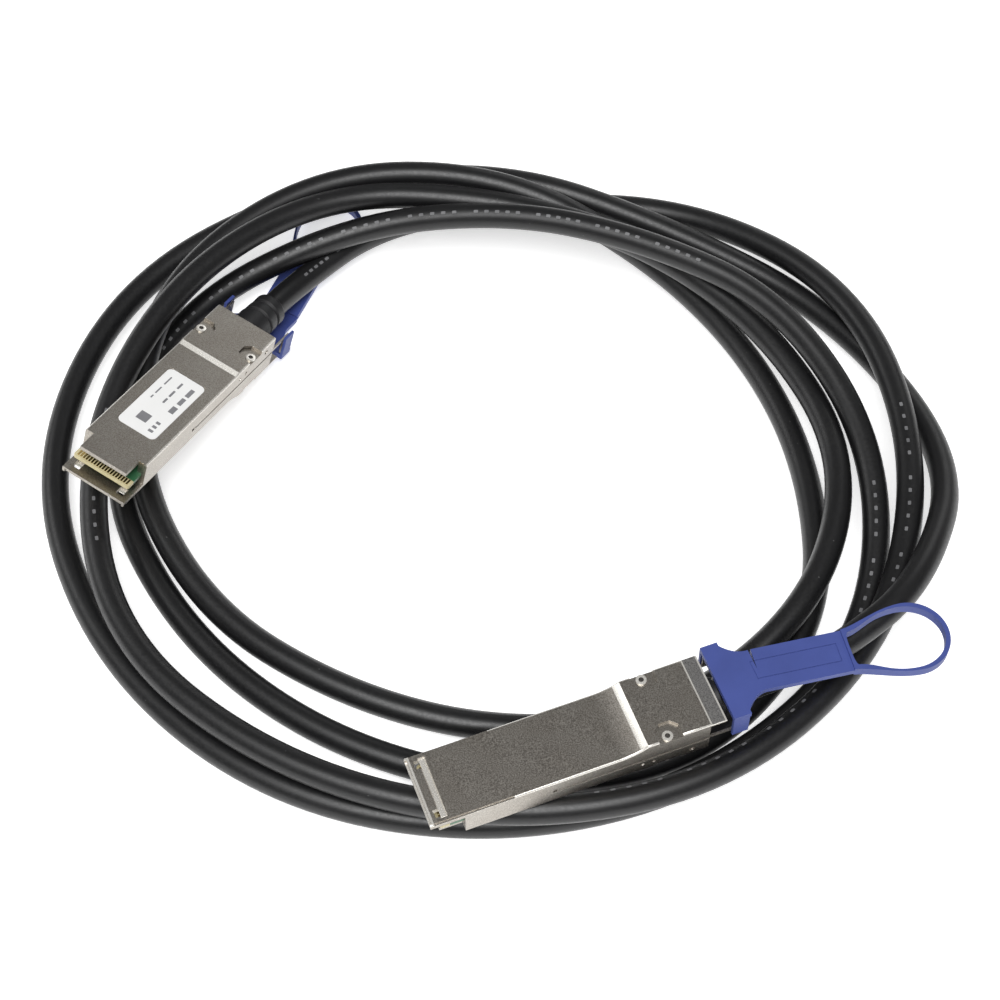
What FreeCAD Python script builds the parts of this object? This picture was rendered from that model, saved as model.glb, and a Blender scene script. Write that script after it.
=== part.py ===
import FreeCAD, Part

import math
import os

import Sketcher

# Direct attach copper cable: one free cable laid in a loose coil of about four
# and a half turns, with the same pluggable connector at both ends.  Plug a lies
# label side up, plug b lies pull tab side up.  Millimetres, +Z up, the origin on
# the floor at the middle of the whole coil.
#
# A plug's own frame: X runs back from its nose, Z = 0 is its tab-side face and
# the label side faces +Z.

SIZES = {
    # both shells
    "plug_width": 18.35,
    "plug_height": 8.5,
    "tab_shell_length": 72.4,
    "floor_wall": 1.2,
    "split_height": 4.7,
    "edge_round": 0.5,
    # open nose
    "nose_plate": 1.5,
    "nose_step": 0.5,
    "nose_step_height": 1.1,
    "nose_corner": 0.7,
    "notch_end": 8.3,
    "tongue_start": 2.7,
    "tongue_thick": 1.1,
    "window_start": 1.7,
    "window_end": 4.3,
    "trough_start": 2.9,
    "trough_end": 4.6,
    "trough_depth": 0.7,
    "lip_start": 1.0,
    "lip_end": 20.3,
    "lip_width": 0.5,
    "lip_depth": 0.35,
    # raised rear head
    "head_drop": 2.0,
    "head_blend": 12.0,
    "ridge_rise": 0.35,
    "band_thick": 0.8,
    "band_step": 0.15,
    "dimple_radius": 0.5,
    "dimple_depth": 0.4,
    "side_hole_radius": 0.7,
    # fastener pockets and rivets
    "pocket_depth": 0.9,
    "pocket_round": 1.6,
    "rivet_bore": 0.7,
    "rivet_gap": 0.08,
    "rivet_head": 1.3,
    "rivet_head_thick": 0.45,
    # label and its recess
    "label_start": 16.2,
    "label_end": 40.3,
    "label_half": 5.6,
    "label_round": 1.5,
    "recess_depth": 0.15,
    "label_thick": 0.1,
    "label_gap": 0.1,
    # paddle card
    "card_start": 2.5,
    "card_end": 36.0,
    "card_thick": 1.0,
    "card_gap": 0.05,
    "card_chamfer": 0.4,
    "pad_pitch": 0.8,
    "pad_width": 0.5,
    "pad_length": 1.8,
    "pad_thick": 0.05,
    "chip_start": 16.0,
    "chip_length": 5.0,
    "chip_width": 4.0,
    "chip_height": 0.9,
    # wiring inside
    "block_start": 32.0,
    "block_end": 46.0,
    "block_below": 2.0,
    "block_above": 2.2,
    "wire_radius": 0.55,
    "wire_pitch": 1.5,
    "ferrule_length": 4.5,
    "ferrule_wall": 0.5,
    # cable and collar
    "cable_diameter": 7.0,
    "axis_height": 3.9,
    "bore_gap": 0.1,
    "neck_gap": 0.1,
    "rib_groove": 0.6,
    # latch slider
    "arm_start": 30.6,
    "arm_height": 3.6,
    "arm_tall": 0.7,
    "arm_thick": 0.5,
    "arm_inset": 0.1,
    "arm_gap": 0.12,
    "bead_radius": 0.35,
    "yoke_drop": 2.1,
    # pull tab
    "tab_ear": 0.8,
    "tab_ear_top": 5.0,
    "tab_drop": 2.9,
    "tab_thick": 1.5,
    "strap_half": 5.5,
    "loop_half": 9.1,
    "loop_band": 1.7,
    "loop_thick": 2.6,
    "hole_small": 5.6,
    "mark_half": 2.5,
    "mark_line": 0.25,
    "mark_depth": 0.2,
}

# Places along the plug, measured back from the tab shell's rear end.
FROM_REAR = {
    "label_shell_length": -4.0,
    "cavity_end": -9.4,
    "head_start": -22.7,
    "head_full": -19.5,
    "ridge_start": -23.2,
    "ridge_full": -21.6,
    "pocket_start": -16.8,
    "pocket_end": -10.9,
    "rivet_place": -14.3,
    "wire_end": -15.4,
    "collar_end": 9.6,
    "slider_rear": 4.4,
    "yoke_start": 1.8,
    "tab_start": 1.4,
    "tab_head_end": 5.4,
    "strap_start": 11.6,
    "strap_end": 33.6,
    "loop_end": 58.6,
    "hole_start": 37.8,
    "mark_start": 10.6,
    "mark_end": 31.6,
}

# Half widths, measured in from the shell's sides; the tab stands out past them.
FROM_SIDE = {
    "cavity_half": 2.375,
    "tongue_half": 2.375,
    "window_inner": 3.675,
    "window_outer": 1.675,
    "trough_half": 1.175,
    "rivet_offset": 1.375,
    "card_nose_half": 0.975,
    "card_seat_half": 1.225,
    "block_half": 2.775,
    "pocket_inner": 4.675,
    "tab_half": -0.825,
}

# Radii, measured out from the cable's own.
OVER_CABLE = {
    "neck_radius": 0.9,
    "collar_radius": 1.5,
    "collar_tip_radius": 1.1,
}

# Where each plug lies: its nose, then yaw, pitch and roll in degrees, whether its
# tab side is up, and how far behind the tab's head and how much its strap bends.
PLUGS = {
    "a": {"nose": (-97.5, -13.0, 32.6), "turn": (61.9, 13.5, 10.0), "tab_up": False,
          "bend_after": 11.2, "bend": (8.0, -13.1, -9.5)},
    "b": {"nose": (-17.8, -97.0, 23.0), "turn": (20.7, -1.0, 1.0), "tab_up": True,
          "bend_after": 6.2, "bend": (7.0, -1.5, 0.0)},
}

# The coil, turn by turn, clockwise from the far side in twelfths of a turn: each
# station's distance from the coil's middle and the height of the cable's centre.
COIL_MIDDLE = (1.0, 5.6)
COIL_START_ANGLE = 90.0
STATION_STEP = 30.0
COIL_TURNS = [
    [(93.5, 3.5), (106, 5), (110, 13), (108, 13.5), (109, 11.5), (108.5, 11.5),
     (104, 10.8), (104, 10.5), (110, 12), (106, 16), (100, 22.5), (96, 20.5)],
    [(83.5, 17), (79.5, 16), (83, 12), (90, 11), (90, 11.5), (84, 4),
     (77, 3.5), (77, 5), (85.5, 6), (96, 9), (107, 15), (104, 20)],
    [(92.5, 18), (83, 7), (78.5, 4), (81, 3.5), (92, 3.5), (97, 3.5),
     (92, 3.5), (89.5, 3.5), (93, 3.5), (103, 4), (103, 5.5), (88, 13.5)],
    [(75.5, 21.5), (74.5, 23), (87, 21), (98, 12), (105, 4), (103.5, 3.5),
     (103.7, 3.5), (108, 3.5), (113, 3.5), (120, 6), (119.5, 8.5), (108, 10.5)],
    [(98, 13.5), (93.5, 8.5), (106.5, 4), (118, 9.5)],
]
LEAD_RUNS = {"a": 12.0, "b": 7.0}      # straight out of each collar, up to the first bend
FIRST_STATION = (90.0, 112.0, 7.0)     # distance, angle, height
LAST_STATIONS = [(112.0, 336.0, 22.0), (101.5, 321.5, 18.5)]
ARC_SHARE = 0.45


class Dim:
    """A length that knows its value and the sheet expression it comes from."""

    def __init__(self, value, text):
        self.value = float(value)
        self.text = text

    @staticmethod
    def of(thing):
        return thing if isinstance(thing, Dim) else Dim(thing, repr(float(thing)))

    def __add__(self, other):
        other = Dim.of(other)
        return Dim(self.value + other.value, f"({self.text} + {other.text})")

    def __radd__(self, other):
        return Dim.of(other) + self

    def __sub__(self, other):
        other = Dim.of(other)
        return Dim(self.value - other.value, f"({self.text} - {other.text})")

    def __mul__(self, other):
        other = Dim.of(other)
        return Dim(self.value * other.value, f"({self.text} * {other.text})")

    def __truediv__(self, other):
        other = Dim.of(other)
        return Dim(self.value / other.value, f"({self.text} / {other.text})")

    def __neg__(self):
        return Dim(-self.value, f"(0 - {self.text})")


doc = FreeCAD.newDocument("direct_attach_cable")


def tied_sizes():
    """The sizes that follow another one, each as a sheet formula and its value."""
    ties = [(FROM_REAR, "tab_shell_length + ({})", SIZES["tab_shell_length"], 1),
            (FROM_SIDE, "plug_width / 2 - ({})", SIZES["plug_width"] / 2, -1),
            (OVER_CABLE, "cable_diameter / 2 + ({})", SIZES["cable_diameter"] / 2, 1)]
    return {name: ("=" + formula.format(step), whole + sign * step)
            for steps, formula, whole, sign in ties for name, step in steps.items()}


def make_sheet():
    """Fills the sheet and returns each size as a Dim by its name."""
    sheet = doc.addObject("Spreadsheet::Sheet", "sizes")
    cells = {name: (str(value), value) for name, value in SIZES.items()}
    cells.update(tied_sizes())
    dims = {}
    for row, (name, (content, value)) in enumerate(cells.items(), start=1):
        sheet.set(f"A{row}", name)
        sheet.set(f"B{row}", content)
        sheet.setAlias(f"B{row}", name)
        SIZES[name] = value
        dims[name] = Dim(value, f"sizes.{name}")
    return dims


D = make_sheet()
doc.recompute()

HALF = D["plug_width"] / 2
HEIGHT = D["plug_height"]
CABLE_RADIUS = D["cable_diameter"] / 2
SEAT = D["split_height"] - D["card_thick"]
HEAD_FLOOR = D["floor_wall"] - D["head_drop"]
HEAD_ROOF = HEIGHT + D["ridge_rise"] - D["band_thick"]
FERRULE_START = D["wire_end"]
FERRULE_RADIUS = CABLE_RADIUS + D["ferrule_wall"]
ARM_OUTER = HALF - D["arm_inset"]
ARM_INNER = ARM_OUTER - D["arm_thick"]
PAD_ROW = 19
WIRE_ROWS = 2
WIRE_COLUMNS = 4


def bind(thing, prop, dim):
    """Ties one property of a document object to the sheet."""
    thing.setExpression(prop, Dim.of(dim).text)


def box(name, x, y, z):
    """A Part box between two places on each axis."""
    made = doc.addObject("Part::Box", name)
    for prop, place, (low, high) in (("Length", "x", x), ("Width", "y", y), ("Height", "z", z)):
        low, high = Dim.of(low), Dim.of(high)
        bind(made, prop, high - low)
        bind(made, f"Placement.Base.{place}", low)
    return made


def rod(name, radius, start, end, y, z):
    """A Part cylinder that lies along X."""
    made = doc.addObject("Part::Cylinder", name)
    start, end = Dim.of(start), Dim.of(end)
    bind(made, "Radius", radius)
    bind(made, "Height", end - start)
    made.Placement.Rotation = FreeCAD.Rotation(FreeCAD.Vector(0, 1, 0), 90)
    bind(made, "Placement.Base.x", start)
    bind(made, "Placement.Base.y", y)
    bind(made, "Placement.Base.z", z)
    return made


def cut(name, base, *tools):
    """Takes each tool away from the base."""
    for number, tool in enumerate(tools):
        made = doc.addObject("Part::Cut", f"{name}_cut{number}")
        made.Base = base
        made.Tool = tool
        base = made
    return base


def fuse(name, pieces):
    made = doc.addObject("Part::MultiFuse", name)
    made.Shapes = pieces
    return made


def group(name, pieces):
    """Separate solids that share one node."""
    made = doc.addObject("Part::Compound", name)
    made.Links = pieces
    return made


def plane(body, role):
    return [p for p in body.Origin.OriginFeatures if p.Role == role][0]


def new_sketch(body, role, name, offset=None):
    """A sketch on one of the body's own planes, moved off it by the offset."""
    sketch = body.newObject("Sketcher::SketchObject", name)
    sketch.AttachmentSupport = [(plane(body, role), "")]
    sketch.MapMode = "FlatFace"
    if offset is not None:
        sketch.AttachmentOffset = offset
    return sketch


def pin(sketch, edge, point, x, y):
    """Ties one point of a sketch to the sheet on both axes."""
    for kind, dim in (("DistanceX", x), ("DistanceY", y)):
        dim = Dim.of(dim)
        index = sketch.addConstraint(Sketcher.Constraint(kind, -1, 1, edge, point, dim.value))
        if "sizes." in dim.text:
            sketch.setExpression(f"Constraints[{index}]", dim.text)


def outline(sketch, points):
    """A closed outline through the points, each tied to the sheet."""
    corners = [FreeCAD.Vector(Dim.of(x).value, Dim.of(y).value, 0) for x, y in points]
    first = sketch.GeometryCount
    for number, corner in enumerate(corners):
        following = corners[(number + 1) % len(corners)]
        sketch.addGeometry(Part.LineSegment(corner, following), False)
    for number, (x, y) in enumerate(points):
        before = first + (number - 1) % len(points)
        sketch.addConstraint(Sketcher.Constraint("Coincident", before, 2, first + number, 1))
        pin(sketch, first + number, 1, x, y)


def ring(sketch, x, y, radius):
    """A circle tied to the sheet."""
    x, y, radius = Dim.of(x), Dim.of(y), Dim.of(radius)
    made = Part.Circle(FreeCAD.Vector(x.value, y.value, 0), FreeCAD.Vector(0, 0, 1), radius.value)
    edge = sketch.addGeometry(made, False)
    pin(sketch, edge, 3, x, y)
    index = sketch.addConstraint(Sketcher.Constraint("Radius", edge, radius.value))
    if "sizes." in radius.text:
        sketch.setExpression(f"Constraints[{index}]", radius.text)


def rectangle(sketch, x, y):
    outline(sketch, [(x[0], y[0]), (x[1], y[0]), (x[1], y[1]), (x[0], y[1])])


def pad(body, sketch, length, name, midplane=False):
    made = body.newObject("PartDesign::Pad", name)
    made.Profile = sketch
    bind(made, "Length", length)
    made.SideType = "Symmetric" if midplane else "One side"
    sketch.Visibility = False
    return made


def pocket(body, sketch, length, name, upward=True, midplane=False):
    """Cuts along the sketch's normal, and stops the build if nothing is cut."""
    doc.recompute()
    before = body.Shape.Volume
    made = body.newObject("PartDesign::Pocket", name)
    made.Profile = sketch
    bind(made, "Length", length)
    made.Reversed = upward
    if midplane:
        made.SideType = "Symmetric"
    doc.recompute()
    if not body.Shape.Volume < before - 1e-6:
        raise RuntimeError(f"{name} cut nothing")
    return made


def at_height(z):
    return FreeCAD.Placement(FreeCAD.Vector(0, 0, Dim.of(z).value), FreeCAD.Rotation())


def raised_sketch(body, name, z):
    """A level sketch whose height follows the sheet."""
    sketch = new_sketch(body, "XY_Plane", name, at_height(z))
    bind(sketch, "AttachmentOffset.Base.z", z)
    return sketch


def across_sketch(body, name, x):
    """A sketch across the plug whose place along it follows the sheet."""
    sketch = new_sketch(body, "YZ_Plane", name, at_height(x))
    bind(sketch, "AttachmentOffset.Base.z", x)
    return sketch


def edge_names(shape, test):
    return [f"Edge{number}" for number, edge in enumerate(shape.Edges, start=1) if test(edge)]


def along_side(edge, low, high):
    """Whether an edge runs along a side face between the heights given."""
    ends = [vertex.Point for vertex in edge.Vertexes]
    if len(ends) != 2 or abs(ends[0].x - ends[1].x) < 1:
        return False
    return all(abs(abs(p.y) - HALF.value) < 1e-4 and low - 1e-4 < p.z < high + 1e-4
               and abs(p.y - ends[0].y) < 1e-4 for p in ends)


def round_edges(body, names, radius, name):
    solid = body.Tip
    made = body.newObject("PartDesign::Fillet", name)
    made.Base = (solid, names)
    bind(made, "Radius", radius)
    doc.recompute()
    return made


def fastener_pockets(body, tag, height, depth, upward):
    """The open-sided pockets round the rivets, and the rivets' holes."""
    flat = raised_sketch(body, f"{tag}_pockets", height)
    for side in (1, -1):
        inner = D["pocket_inner"] * side
        outer = (HALF + 1) * side
        edge = D["pocket_inner"] * side + D["pocket_round"] * side
        outline(flat, [(D["pocket_start"], outer), (D["pocket_start"], edge),
                       (D["pocket_start"] + D["pocket_round"], inner),
                       (D["pocket_end"] - D["pocket_round"], inner),
                       (D["pocket_end"], edge), (D["pocket_end"], outer)])
    pocket(body, flat, depth, f"{tag}_pocket", upward)
    holes = raised_sketch(body, f"{tag}_holes", -D["head_drop"] - 1)
    for side in (1, -1):
        ring(holes, D["rivet_place"], D["rivet_offset"] * side, D["rivet_bore"])
    pocket(body, holes, HEIGHT + D["head_drop"] + 2, f"{tag}_hole")


def cable_passage(body, tag):
    """The round way out at the back, for the collar's neck."""
    mouth = across_sketch(body, f"{tag}_mouth", D["cavity_end"] - 1)
    ring(mouth, 0, D["axis_height"], D["neck_radius"] + D["neck_gap"])
    pocket(body, mouth, D["tab_shell_length"] - D["cavity_end"] + 4, f"{tag}_way")


def nose_details(body, tag):
    """The stepped front edge, the two windows with their trough, and the side lips."""
    step = raised_sketch(body, f"tab_step_{tag}", -1)
    inner = HALF - D["nose_corner"]
    rectangle(step, (-1, D["nose_step"]), (-inner, inner))
    pocket(body, step, 1 + D["nose_step_height"], f"tab_front_step_{tag}")
    trough = raised_sketch(body, f"tab_trough_{tag}", -1)
    rectangle(trough, (D["trough_start"], D["trough_end"]), (-D["trough_half"], D["trough_half"]))
    pocket(body, trough, 1 + D["trough_depth"], f"tab_trough_cut_{tag}")
    windows = raised_sketch(body, f"tab_windows_{tag}", -1)
    lips = raised_sketch(body, f"tab_lips_{tag}", -1)
    for side in (1, -1):
        rectangle(windows, (D["window_start"], D["window_end"]),
                  (D["window_inner"] * side, D["window_outer"] * side))
        rectangle(lips, (D["lip_start"], D["lip_end"]),
                  ((HALF - D["lip_width"]) * side, (HALF + 1) * side))
    pocket(body, windows, D["nose_plate"] + 2, f"tab_window_{tag}")
    pocket(body, lips, 1 + D["lip_depth"], f"tab_lip_{tag}")


def side_marks(body, tag, marks):
    """Round dimples in both side faces, at places along and heights given."""
    for side, upward in ((1, True), (-1, False)):
        offset = (HALF - D["dimple_depth"]) * side
        sketch = new_sketch(body, "XZ_Plane", f"{tag}_marks_{int(upward)}", at_height(offset))
        bind(sketch, "AttachmentOffset.Base.z", offset)
        for along, height, radius in marks:
            ring(sketch, along, height, radius)
        pocket(body, sketch, D["dimple_depth"] + 1, f"{tag}_mark_cut_{int(upward)}", upward)


def tab_shell(tag):
    """The longer casting: nose plate, side walls, raised head and rear band."""
    body = doc.addObject("PartDesign::Body", f"tab_shell_{tag}")
    side = new_sketch(body, "XZ_Plane", f"tab_side_{tag}")
    drop = -D["head_drop"]
    outline(side, [
        (0, 0), (D["head_start"], 0), (D["head_full"], drop), (D["tab_shell_length"], drop),
        (D["tab_shell_length"], drop + D["band_thick"]),
        (D["label_shell_length"], drop + D["band_thick"]),
        (D["label_shell_length"], D["split_height"]), (D["notch_end"], D["split_height"]),
        (D["notch_end"], D["nose_plate"]), (0, D["nose_plate"])])
    pad(body, side, D["plug_width"], f"tab_pad_{tag}", midplane=True)
    doc.recompute()
    crease = edge_names(body.Shape, lambda e: len(e.Vertexes) == 2 and all(
        abs(v.X - SIZES["head_start"]) < 1e-4 and abs(v.Z) < 1e-4 for v in e.Vertexes))
    round_edges(body, crease, D["head_blend"], f"tab_blend_{tag}")
    floor = edge_names(body.Shape, lambda e: along_side(e, drop.value, drop.value)
                       or along_side(e, 0.0, 0.0))
    round_edges(body, floor, D["edge_round"], f"tab_round_{tag}")
    inside = raised_sketch(body, f"tab_inside_{tag}", D["floor_wall"])
    rectangle(inside, (D["notch_end"] - 1, D["cavity_end"]), (-D["cavity_half"], D["cavity_half"]))
    pocket(body, inside, HEIGHT, f"tab_cavity_{tag}")
    deep = raised_sketch(body, f"tab_deep_{tag}", HEAD_FLOOR)
    rectangle(deep, (D["head_full"], D["cavity_end"]), (-D["cavity_half"], D["cavity_half"]))
    pocket(body, deep, HEIGHT, f"tab_head_cavity_{tag}")
    seat = raised_sketch(body, f"tab_seat_{tag}", SEAT)
    rectangle(seat, (D["notch_end"] - 1, D["card_end"] + D["card_gap"]),
              (-D["card_seat_half"], D["card_seat_half"]))
    pocket(body, seat, HEIGHT, f"tab_card_seat_{tag}")
    arms = across_sketch(body, f"tab_arms_{tag}", D["arm_start"] - 1)
    low = D["arm_height"] - D["arm_gap"]
    high = D["arm_height"] + D["arm_tall"] + D["arm_gap"]
    for turn in (1, -1):
        rectangle(arms, ((ARM_INNER - D["arm_gap"]) * turn, (HALF + 1) * turn), (low, high))
    pocket(body, arms, D["tab_shell_length"], f"tab_arm_way_{tag}")
    fastener_pockets(body, f"tab_{tag}", drop, D["pocket_depth"], True)
    cable_passage(body, f"tab_{tag}")
    nose_details(body, tag)
    band = raised_sketch(body, f"tab_band_{tag}", drop - 1)
    rectangle(band, (D["label_shell_length"], D["tab_shell_length"] + 1), (-HALF - 1, HALF + 1))
    pocket(body, band, 1 + D["band_step"], f"tab_band_step_{tag}")
    return body


def label_shell(tag):
    """The shorter casting: the tongue, the label recess and the ridge."""
    body = doc.addObject("PartDesign::Body", f"label_shell_{tag}")
    side = new_sketch(body, "XZ_Plane", f"label_side_{tag}")
    top = HEIGHT + D["ridge_rise"]
    outline(side, [
        (D["notch_end"], D["split_height"]), (D["label_shell_length"], D["split_height"]),
        (D["label_shell_length"], top), (D["ridge_full"], top), (D["ridge_start"], HEIGHT),
        (D["notch_end"], HEIGHT)])
    pad(body, side, D["plug_width"], f"label_pad_{tag}", midplane=True)
    doc.recompute()
    roof = edge_names(body.Shape, lambda e: along_side(e, SIZES["plug_height"], top.value))
    round_edges(body, roof, D["edge_round"], f"label_round_{tag}")
    tongue = raised_sketch(body, f"label_tongue_{tag}", HEIGHT - D["tongue_thick"])
    half = D["tongue_half"]
    rectangle(tongue, (D["tongue_start"], D["notch_end"] + 0.5), (-half, half))
    pad(body, tongue, D["tongue_thick"], f"label_tongue_pad_{tag}")
    inside = raised_sketch(body, f"label_inside_{tag}", 0)
    rectangle(inside, (D["notch_end"] - 1, D["cavity_end"]), (-D["cavity_half"], D["cavity_half"]))
    pocket(body, inside, HEIGHT - D["floor_wall"], f"label_cavity_{tag}")
    deep = raised_sketch(body, f"label_deep_{tag}", 0)
    rectangle(deep, (D["head_full"], D["cavity_end"]), (-D["cavity_half"], D["cavity_half"]))
    pocket(body, deep, HEAD_ROOF, f"label_head_cavity_{tag}")
    recess = raised_sketch(body, f"label_recess_{tag}", HEIGHT - D["recess_depth"])
    rectangle(recess, (D["label_start"] - D["label_gap"], D["label_end"] + D["label_gap"]),
              (-D["label_half"] - D["label_gap"], D["label_half"] + D["label_gap"]))
    pocket(body, recess, D["recess_depth"] + 1, f"label_recess_cut_{tag}")
    fastener_pockets(body, f"label_{tag}", top, D["pocket_depth"], False)
    cable_passage(body, f"label_{tag}")
    side_marks(body, f"label_{tag}", [
        (D["head_start"] + 2, D["split_height"] + 1.2, D["dimple_radius"]),
        (D["head_start"] + 4.8, D["split_height"] + 1.4, D["dimple_radius"]),
        (D["pocket_end"] + 2.7, D["split_height"] + 1.9, D["side_hole_radius"])])
    return body


def paddle_card(tag):
    """The board whose edge is the plug's contact side."""
    body = doc.addObject("PartDesign::Body", f"paddle_card_{tag}")
    flat = raised_sketch(body, f"card_outline_{tag}", SEAT)
    wide, slim = D["card_nose_half"], D["card_seat_half"] - D["card_gap"]
    step = D["notch_end"] - D["card_gap"]
    corner = D["card_chamfer"]
    outline(flat, [
        (D["card_start"] + corner, -wide), (step, -wide), (step, -slim), (D["card_end"], -slim),
        (D["card_end"], slim), (step, slim), (step, wide), (D["card_start"] + corner, wide),
        (D["card_start"], wide - corner), (D["card_start"], corner - wide)])
    pad(body, flat, D["card_thick"], f"card_pad_{tag}")
    return body


def edge_contacts(tag):
    """Gold pads at one pitch along the card's front edge, on both faces."""
    pads = []
    start = D["card_start"] + 0.5
    for row, low in enumerate((SEAT - D["pad_thick"], SEAT + D["card_thick"])):
        for number in range(PAD_ROW):
            middle = D["pad_pitch"] * (number - (PAD_ROW - 1) / 2)
            pads.append(box(f"pad_{tag}_{row}_{number}", (start, start + D["pad_length"]),
                            (middle - D["pad_width"] / 2, middle + D["pad_width"] / 2),
                            (low, low + D["pad_thick"])))
    return group(f"edge_contacts_{tag}", pads)


def memory_chip(tag):
    """The small chip on the card, under the label shell."""
    top = D["split_height"]
    body = box(f"chip_body_{tag}", (D["chip_start"], D["chip_start"] + D["chip_length"]),
               (-D["chip_width"] / 2, D["chip_width"] / 2), (top, top + D["chip_height"]))
    leads = []
    for side in (1, -1):
        for number in range(4):
            x = D["chip_start"] + 0.4 + 1.27 * number
            inner = D["chip_width"] / 2 * side
            outer = (D["chip_width"] / 2 + 0.9) * side
            span = (inner, outer) if side > 0 else (outer, inner)
            leads.append(box(f"chip_lead_{tag}_{side}_{number}", (x, x + 0.4), span,
                             (top, top + 0.15)))
    return fuse(f"memory_chip_{tag}", [body, *leads])


def wire_block(tag):
    """The moulded block that holds the wire ends on the card."""
    low = SEAT - D["block_below"]
    high = D["split_height"] + D["block_above"]
    whole = box(f"block_whole_{tag}", (D["block_start"], D["block_end"]),
                (-D["block_half"], D["block_half"]), (low, high))
    slot = box(f"block_slot_{tag}", (D["block_start"] - 1, D["card_end"]),
               (-D["card_seat_half"], D["card_seat_half"]), (SEAT, D["split_height"]))
    return cut(f"wire_block_{tag}", whole, slot)


def core_wires(tag):
    """Eight shielded pairs in two rows, from the block to the jacket."""
    wires = []
    for row in range(WIRE_ROWS):
        z = D["axis_height"] + D["wire_pitch"] * (row - (WIRE_ROWS - 1) / 2)
        for column in range(WIRE_COLUMNS):
            y = D["wire_pitch"] * (column - (WIRE_COLUMNS - 1) / 2)
            wires.append(rod(f"wire_{tag}_{row}_{column}", D["wire_radius"], D["block_end"],
                             D["wire_end"], y, z))
    return group(f"core_wires_{tag}", wires)


def ferrule(tag):
    """The crimp ring on the jacket's end."""
    end = FERRULE_START + D["ferrule_length"]
    outer = rod(f"ferrule_outer_{tag}", FERRULE_RADIUS, FERRULE_START, end, 0, D["axis_height"])
    inner = rod(f"ferrule_inner_{tag}", CABLE_RADIUS, FERRULE_START - 1, end + 1, 0,
                D["axis_height"])
    return cut(f"ferrule_{tag}", outer, inner)


def cable_collar(tag):
    """The ribbed strain relief, turned about the cable's axis."""
    body = doc.addObject("PartDesign::Body", f"cable_collar_{tag}")
    half = new_sketch(body, "XZ_Plane", f"collar_profile_{tag}")
    bore = CABLE_RADIUS + D["bore_gap"]
    wide, tip = D["collar_radius"], D["collar_tip_radius"]
    start, end = D["label_shell_length"], D["collar_end"]
    neck = D["cavity_end"] + 0.2
    deep = D["rib_groove"]
    first, second = start + 5.4, start + 9.4
    outline(half, [
        (neck, bore), (end, bore), (end, tip - 0.4), (end - 0.5, tip), (second + 1.2, tip),
        (second + 0.9, tip - deep), (second + 0.2, tip - deep), (second, tip + 0.1),
        (first + 1.2, tip + 0.2), (first + 0.9, tip + 0.2 - deep), (first + 0.2, wide - deep),
        (first, wide), (start + 0.1, wide), (start + 0.1, D["neck_radius"]),
        (neck, D["neck_radius"])])
    turned = body.newObject("PartDesign::Revolution", f"collar_turned_{tag}")
    turned.Profile = half
    turned.ReferenceAxis = (half, ["H_Axis"])
    turned.Angle = 360
    return body


def shell_rivets(tag):
    """The two rivets that clamp the shells, turned and set side by side."""
    low = D["pocket_depth"] - D["head_drop"]
    high = HEIGHT + D["ridge_rise"] - D["pocket_depth"]
    rivets = []
    for number, side in enumerate((1, -1)):
        parts = []
        for name, radius, bottom, top in (
                ("shank", D["rivet_bore"] - D["rivet_gap"], low, high),
                ("low_head", D["rivet_head"], low - D["rivet_head_thick"], low),
                ("high_head", D["rivet_head"], high, high + D["rivet_head_thick"])):
            made = doc.addObject("Part::Cylinder", f"rivet_{name}_{tag}_{number}")
            bind(made, "Radius", radius)
            bind(made, "Height", top - bottom)
            bind(made, "Placement.Base.x", D["rivet_place"])
            bind(made, "Placement.Base.y", D["rivet_offset"] * side)
            bind(made, "Placement.Base.z", bottom)
            parts.append(made)
        rivets.append(fuse(f"rivet_{tag}_{number}", parts))
    return group(f"shell_rivets_{tag}", rivets)


def latch_slider(tag):
    """The stamped yoke: two long arms that a pull draws back along the sides."""
    pieces = []
    low, high = D["arm_height"], D["arm_height"] + D["arm_tall"]
    under = -D["yoke_drop"]
    for side in (1, -1):
        span = (ARM_INNER, ARM_OUTER) if side > 0 else (-ARM_OUTER, -ARM_INNER)
        pieces.append(box(f"arm_{tag}_{side}", (D["arm_start"], D["slider_rear"]), span,
                          (low, high)))
        pieces.append(box(f"arm_drop_{tag}_{side}", (D["yoke_start"], D["slider_rear"]), span,
                          (under, high)))
        bead = doc.addObject("Part::Cylinder", f"arm_bead_{tag}_{side}")
        bind(bead, "Radius", D["bead_radius"])
        bind(bead, "Height", D["arm_tall"])
        bind(bead, "Placement.Base.x", D["arm_start"] + D["bead_radius"])
        bind(bead, "Placement.Base.y", (ARM_OUTER - D["bead_radius"] / 2) * side)
        bind(bead, "Placement.Base.z", low)
        pieces.append(bead)
    pieces.append(box(f"yoke_{tag}", (D["yoke_start"], D["slider_rear"]),
                      (-ARM_OUTER, ARM_OUTER), (under, under + D["arm_thick"])))
    return fuse(f"latch_slider_{tag}", pieces)


def smooth(points, side):
    """A smooth edge over the points, or its mirror image across the middle."""
    made = Part.BSplineCurve()
    made.buildFromPoles([FreeCAD.Vector(x, y * side, 0) for x, y in points])
    return made.toShape()


def straight(first, second):
    return Part.LineSegment(FreeCAD.Vector(*first, 0), FreeCAD.Vector(*second, 0)).toShape()


def flat_face(edges):
    return Part.Face(Part.Wire(Part.__sortEdges__(edges)))


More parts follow.
